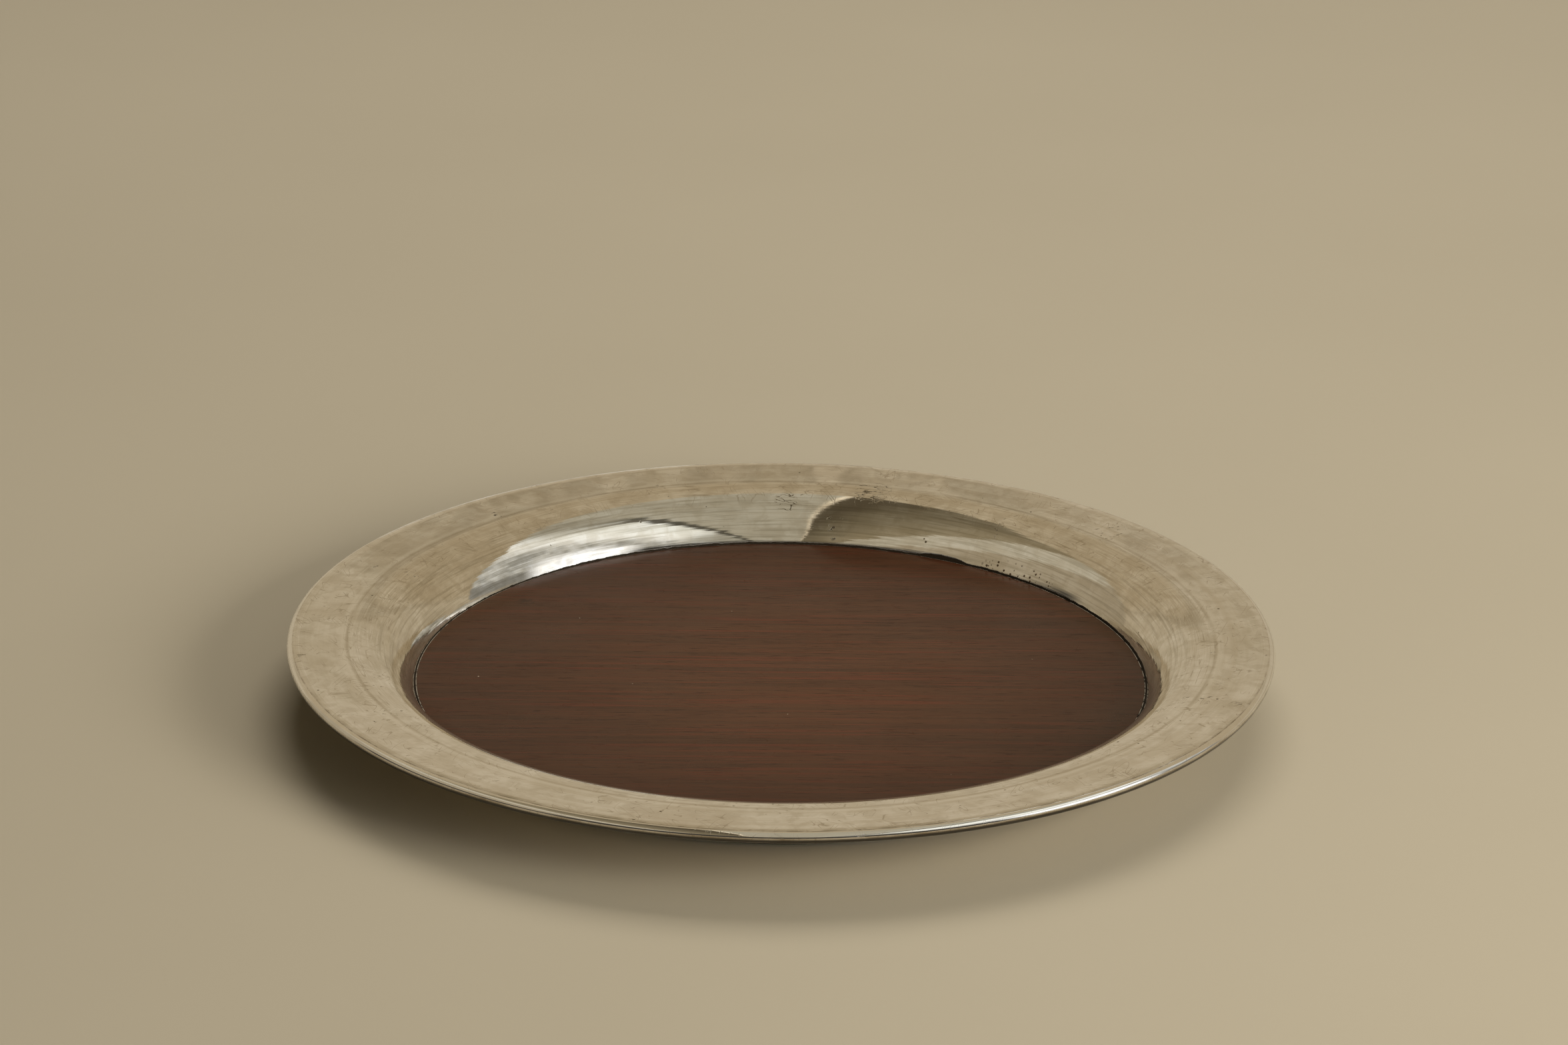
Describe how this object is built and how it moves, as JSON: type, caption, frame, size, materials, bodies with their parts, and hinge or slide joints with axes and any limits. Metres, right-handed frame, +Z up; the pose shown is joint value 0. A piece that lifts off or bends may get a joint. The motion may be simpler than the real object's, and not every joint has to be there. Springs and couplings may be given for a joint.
{
  "type": "silver salver",
  "caption": "Round drinks salver: a polished plated shell with a dished rim, rolled wall and applied border wire, round a flat mahogany-faced panel.",
  "frame": {"origin": "centre of the underside, on the surface the salver stands on", "axes": "+Z up along the axis the salver is turned about; X along the grain of the panel"},
  "size_m": [0.355, 0.355, 0.026],
  "materials": {
    "shell_plate": "polished silver plate with fine polishing lines and hairline scratches",
    "wire_plate": "polished silver plate, a little tarnish at the seam",
    "mahogany_face": "satin lacquer over straight fine grain",
    "core_wood": "sanded",
    "backing_wood": "plain",
    "cement": "dull, with a broken pale line on it",
    "baize": "short napped wool"
  },
  "bodies": {
    "root": {"tray_shell": "shell_plate", "rim_wire": "wire_plate", "face_veneer": "mahogany_face", "core_board": "core_wood", "backing_veneer": "backing_wood", "panel_cement": "cement", "base_baize": "baize"}
  },
  "joints": []
}
